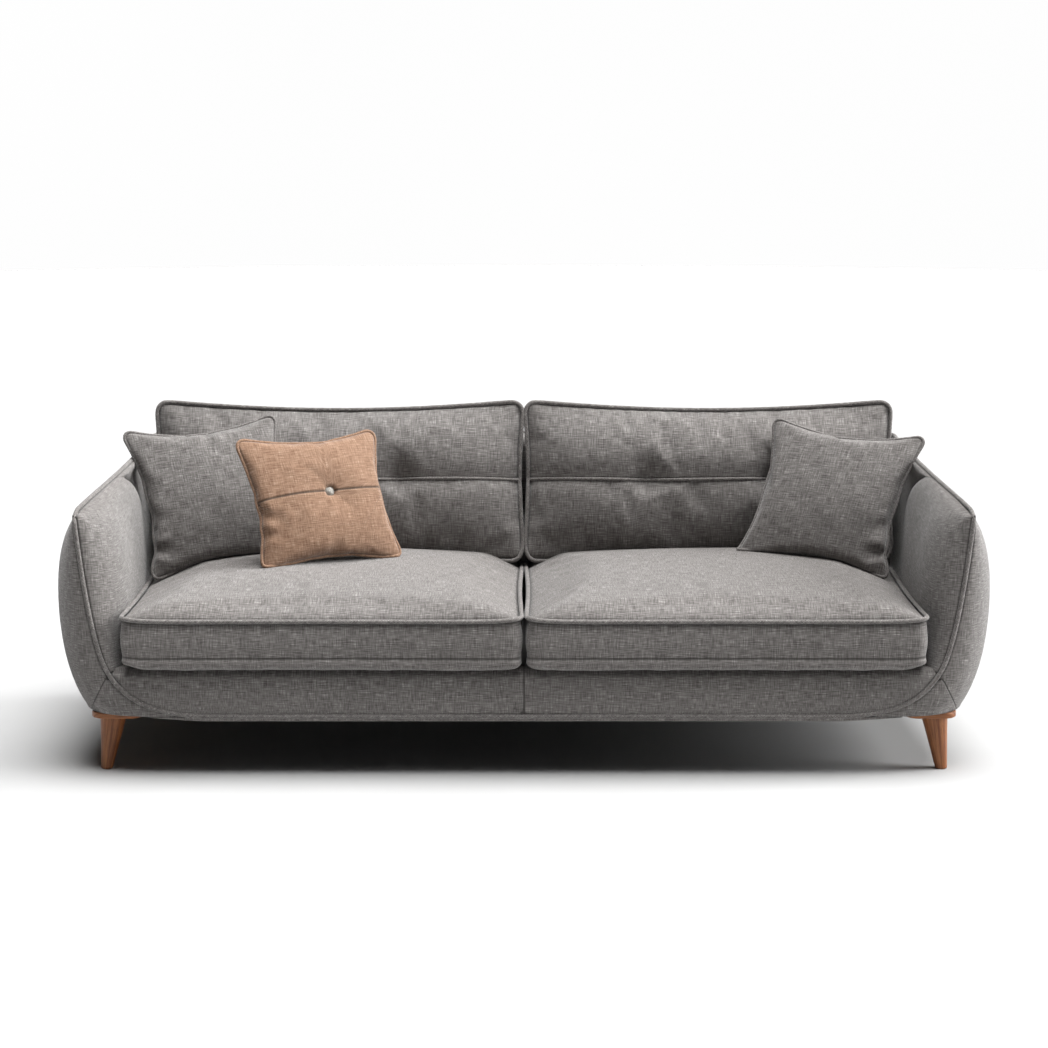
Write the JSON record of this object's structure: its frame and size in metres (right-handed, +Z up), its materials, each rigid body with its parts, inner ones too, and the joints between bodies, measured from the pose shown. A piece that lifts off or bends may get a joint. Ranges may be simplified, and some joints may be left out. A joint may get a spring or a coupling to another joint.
{
  "type": "sofa with wooden legs",
  "caption": "Upholstered sofa with curved arms, loose seat and back cushions, scatter cushions and splayed round wooden legs.",
  "frame": {"origin": "on the floor, under the middle of the sofa", "axes": "+X towards the right-hand side of someone looking at the front, +Y towards the back, +Z up; the front faces -Y"},
  "size_m": [2.2996, 0.95, 0.8234],
  "materials": {
    "grey_fabric": "melange woven upholstery with self piping",
    "tan_fabric": "melange woven upholstery",
    "button_fabric": "fabric-covered button",
    "leg_wood": "satin lacquer over stained hardwood",
    "frame_wood": "plain sawn softwood and plywood",
    "spring_steel": "bare drawn wire",
    "lining": "black non-woven lining",
    "webbing": "woven elastic webbing"
  },
  "bodies": {
    "sofa_frame": {"arm_panel_left": "frame_wood", "arm_panel_right": "frame_wood", "arm_post_left": "frame_wood", "arm_post_right": "frame_wood", "back_piping": "grey_fabric", "back_post_centre": "frame_wood", "back_post_left": "frame_wood", "back_post_right": "frame_wood", "back_strap_1": "webbing", "back_strap_2": "webbing", "back_top_rail": "frame_wood", "body_piping": "grey_fabric", "centre_rail": "frame_wood", "corner_block_front_left": "frame_wood", "corner_block_front_right": "frame_wood", "corner_block_rear_left": "frame_wood", "corner_block_rear_right": "frame_wood", "dust_cover": "lining", "front_border": "grey_fabric", "front_cover": "grey_fabric", "front_rail": "frame_wood", "hanger_bolt_front_left": "spring_steel", "hanger_bolt_front_right": "spring_steel", "hanger_bolt_rear_left": "spring_steel", "hanger_bolt_rear_right": "spring_steel", "inner_arm_pad_left": "grey_fabric", "inner_arm_pad_right": "grey_fabric", "inner_back_pad": "grey_fabric", "leg_front_left": "leg_wood", "leg_front_right": "leg_wood", "leg_plate_front_left": "leg_wood", "leg_plate_front_right": "leg_wood", "leg_plate_rear_left": "leg_wood", "leg_plate_rear_right": "leg_wood", "leg_rear_left": "leg_wood", "leg_rear_right": "leg_wood", "outer_arm_cover_left": "grey_fabric", "outer_arm_cover_right": "grey_fabric", "outer_back_cover": "grey_fabric", "rear_rail": "frame_wood", "rear_seat_rail": "frame_wood", "seat_deck": "lining", "seat_spring_left_1": "spring_steel", "seat_spring_left_2": "spring_steel", "seat_spring_left_3": "spring_steel", "seat_spring_right_1": "spring_steel", "seat_spring_right_2": "spring_steel", "seat_spring_right_3": "spring_steel", "side_rail_left": "frame_wood", "side_rail_right": "frame_wood", "wing_pad_left": "grey_fabric", "wing_pad_right": "grey_fabric"},
    "seat_cushion_left": {"seat_cushion_left": "grey_fabric"},
    "back_cushion_left": {"back_cushion_left": "grey_fabric"},
    "seat_cushion_right": {"seat_cushion_right": "grey_fabric"},
    "back_cushion_right": {"back_cushion_right": "grey_fabric"},
    "scatter_left": {"scatter_left": "grey_fabric"},
    "scatter_right": {"scatter_right": "grey_fabric"},
    "scatter_tan": {"scatter_tan": "tan_fabric", "tan_button": "button_fabric"}
  },
  "joints": [
    {"name": "seat_cushion_left_slide", "type": "slide", "parent": "sofa_frame", "child": "seat_cushion_left", "axis": [0, -1, 0], "range_m": [0, 0.78]},
    {"name": "back_cushion_left_lift", "type": "slide", "parent": "sofa_frame", "child": "back_cushion_left", "axis": [0, 0.2079, 0.9781], "range_m": [0, 0.43]},
    {"name": "seat_cushion_right_slide", "type": "slide", "parent": "sofa_frame", "child": "seat_cushion_right", "axis": [0, -1, 0], "range_m": [0, 0.78]},
    {"name": "back_cushion_right_lift", "type": "slide", "parent": "sofa_frame", "child": "back_cushion_right", "axis": [0, 0.2079, 0.9781], "range_m": [0, 0.43]},
    {"name": "scatter_left_lift", "type": "slide", "parent": "seat_cushion_left", "child": "scatter_left", "axis": [0, 0.1483, 0.9889], "range_m": [0, 0.42]},
    {"name": "scatter_right_lift", "type": "slide", "parent": "seat_cushion_right", "child": "scatter_right", "axis": [0, 0.1483, 0.9889], "range_m": [0, 0.42]},
    {"name": "scatter_tan_lift", "type": "slide", "parent": "seat_cushion_left", "child": "scatter_tan", "axis": [0, -0.1961, 0.9806], "range_m": [0, 0.42]}
  ]
}
